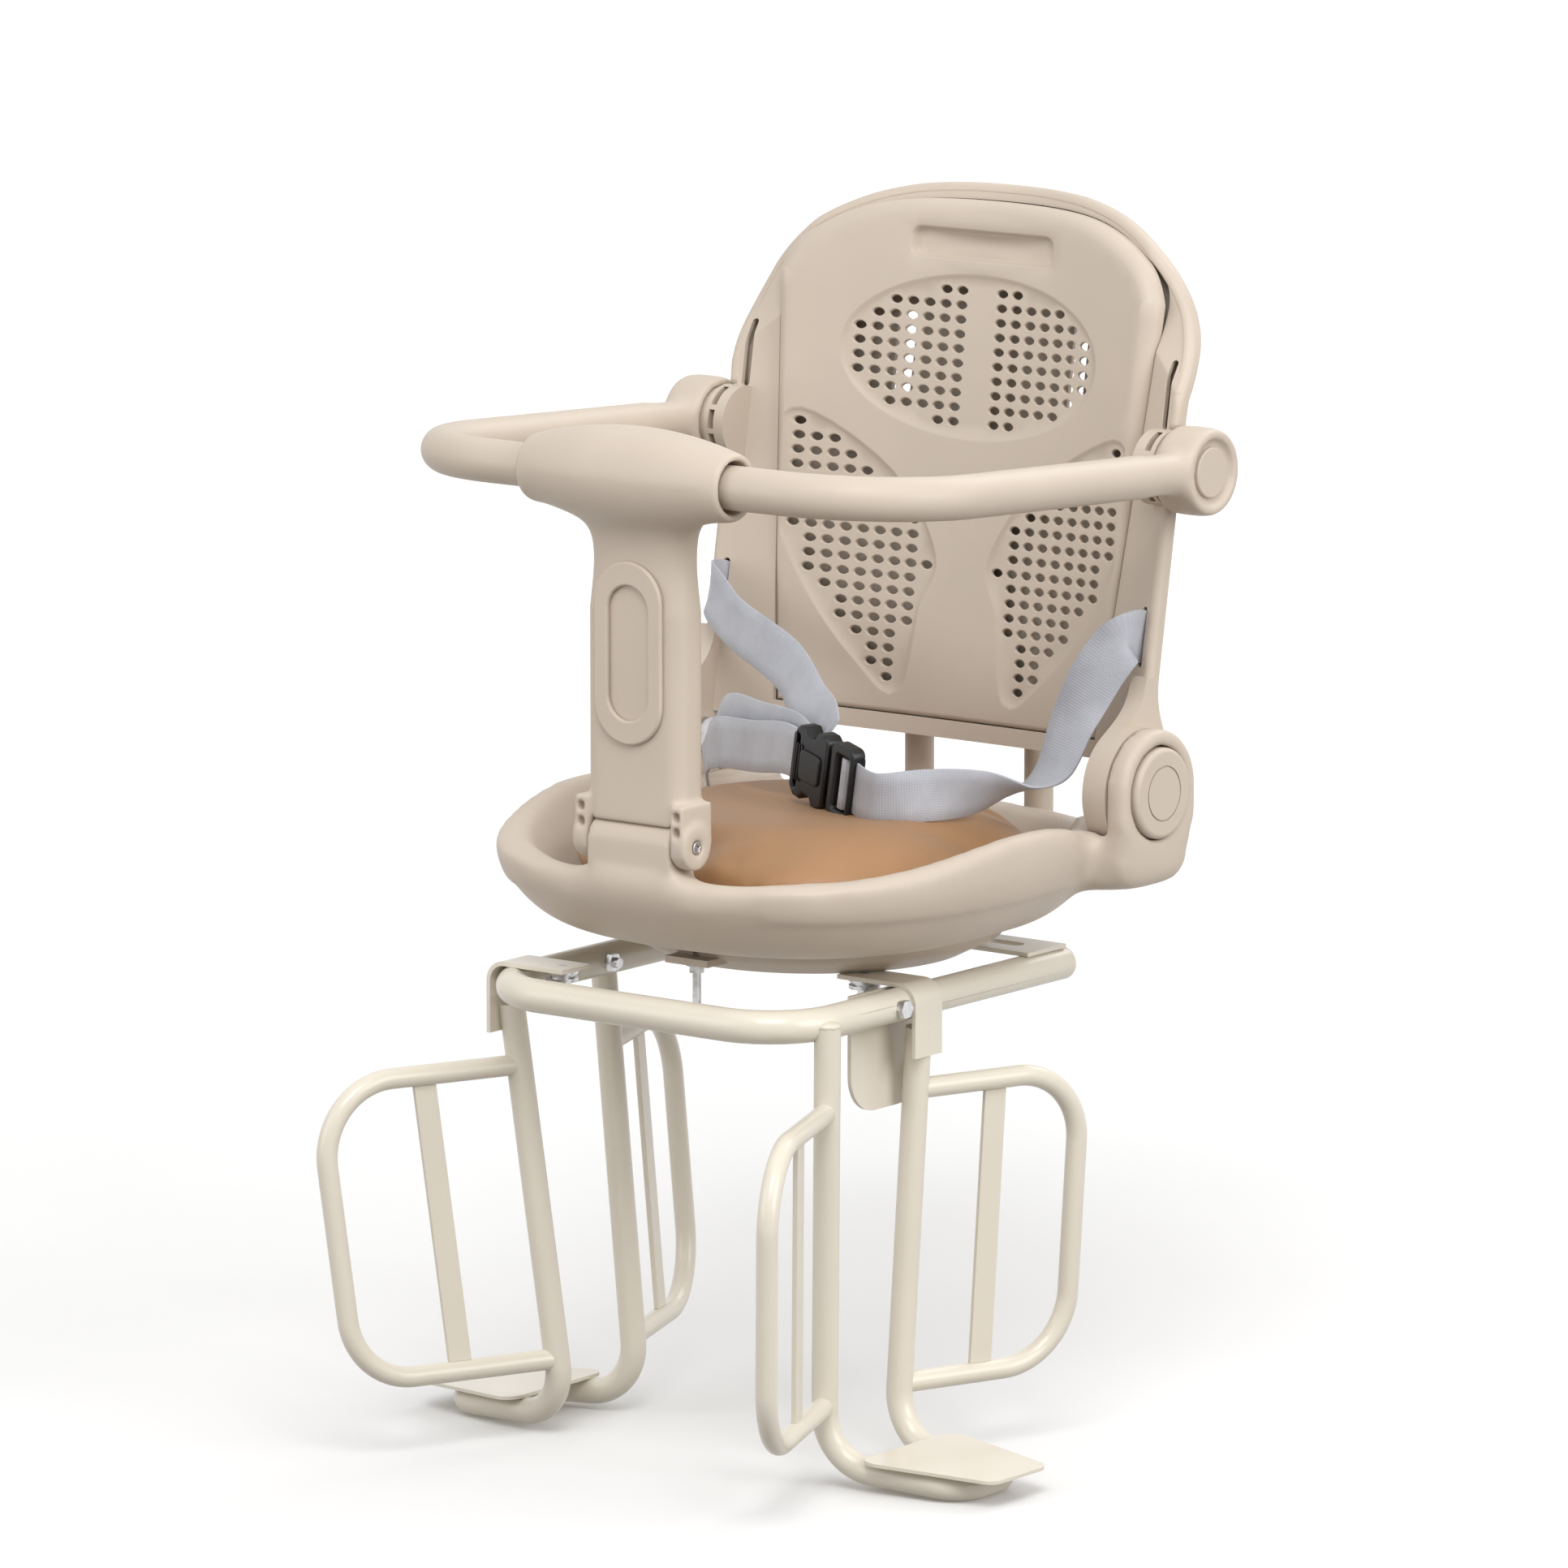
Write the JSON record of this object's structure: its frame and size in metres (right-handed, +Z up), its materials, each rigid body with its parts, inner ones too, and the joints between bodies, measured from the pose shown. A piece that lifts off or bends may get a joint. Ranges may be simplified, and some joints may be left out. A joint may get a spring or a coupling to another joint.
{
  "type": "child bike seat",
  "caption": "Rear child bike seat with a moulded bucket, perforated reclining backrest, guard bar on a front post, cushion, lap harness and a steel base with leg guards.",
  "frame": {"origin": "middle of the steel base tube, on the plane of its axis", "axes": "+Z up, -Y the way the child faces, +X the child's left"},
  "size_m": [0.4114, 0.4449, 0.6973],
  "materials": {
    "beige_plastic": "satin moulded plastic",
    "cream_steel": "gloss powder coat",
    "zinc_steel": "zinc plated",
    "tan_leather": "smooth leatherette",
    "grey_webbing": "woven webbing",
    "black_plastic": "moulded"
  },
  "bodies": {
    "seat": {"base_pan": "beige_plastic", "base_tube": "cream_steel", "buckle_female": "black_plastic", "buckle_male": "black_plastic", "cross_bolts": "zinc_steel", "foot_plate_left": "cream_steel", "foot_plate_right": "cream_steel", "front_loop_left": "cream_steel", "front_loop_right": "cream_steel", "front_strip_left": "cream_steel", "front_strip_right": "cream_steel", "front_stud": "zinc_steel", "hinge_bolt_left": "zinc_steel", "hinge_bolt_right": "zinc_steel", "hook_bolts": "zinc_steel", "leg_frame_left": "cream_steel", "leg_frame_right": "cream_steel", "post_pin": "zinc_steel", "rear_loop_left": "cream_steel", "rear_loop_right": "cream_steel", "rear_plate": "cream_steel", "rear_rail": "beige_plastic", "rear_strip_left": "cream_steel", "rear_strip_right": "cream_steel", "seat_cushion": "tan_leather", "seat_shell": "beige_plastic", "side_plate": "cream_steel", "strap_left": "grey_webbing", "strap_shoulder": "grey_webbing", "strap_waist": "grey_webbing"},
    "backrest": {"backrest_frame": "beige_plastic", "back_panel": "beige_plastic"},
    "guard_bar": {"guard_bar": "beige_plastic", "hub_cap_left": "beige_plastic", "hub_cap_right": "beige_plastic"},
    "front_post": {"front_post": "beige_plastic", "post_trim": "beige_plastic"},
    "recline_button_left": {"recline_button_left": "beige_plastic"},
    "recline_button_right": {"recline_button_right": "beige_plastic"}
  },
  "joints": [
    {"name": "backrest_recline", "type": "hinge", "parent": "seat", "child": "backrest", "pos_m": [0, 0.131, 0.106], "axis": [-1, 0, 0], "range_deg": [0, 12], "deforming": ["strap_left", "strap_shoulder"]},
    {"name": "guard_bar_pivot", "type": "hinge", "parent": "backrest", "child": "guard_bar", "pos_m": [0, 0.16609, 0.28565], "axis": [-1, 0, 0], "range_deg": [-10.5, 0]},
    {"name": "front_post_tilt", "type": "hinge", "parent": "seat", "child": "front_post", "pos_m": [0, -0.117, 0.095], "axis": [-1, 0, 0], "range_deg": [0, 10.6]},
    {"name": "recline_button_left_press", "type": "slide", "parent": "seat", "child": "recline_button_left", "axis": [-1, 0, 0], "range_m": [0, 0.004], "stiffness_N_per_m": 400},
    {"name": "recline_button_right_press", "type": "slide", "parent": "seat", "child": "recline_button_right", "axis": [1, 0, 0], "range_m": [0, 0.004], "stiffness_N_per_m": 400}
  ],
  "couplings": [
    {"joint": "guard_bar_pivot", "follows": "backrest_recline", "ratio": -0.85647},
    {"joint": "front_post_tilt", "follows": "backrest_recline", "ratio": 0.87136}
  ]
}
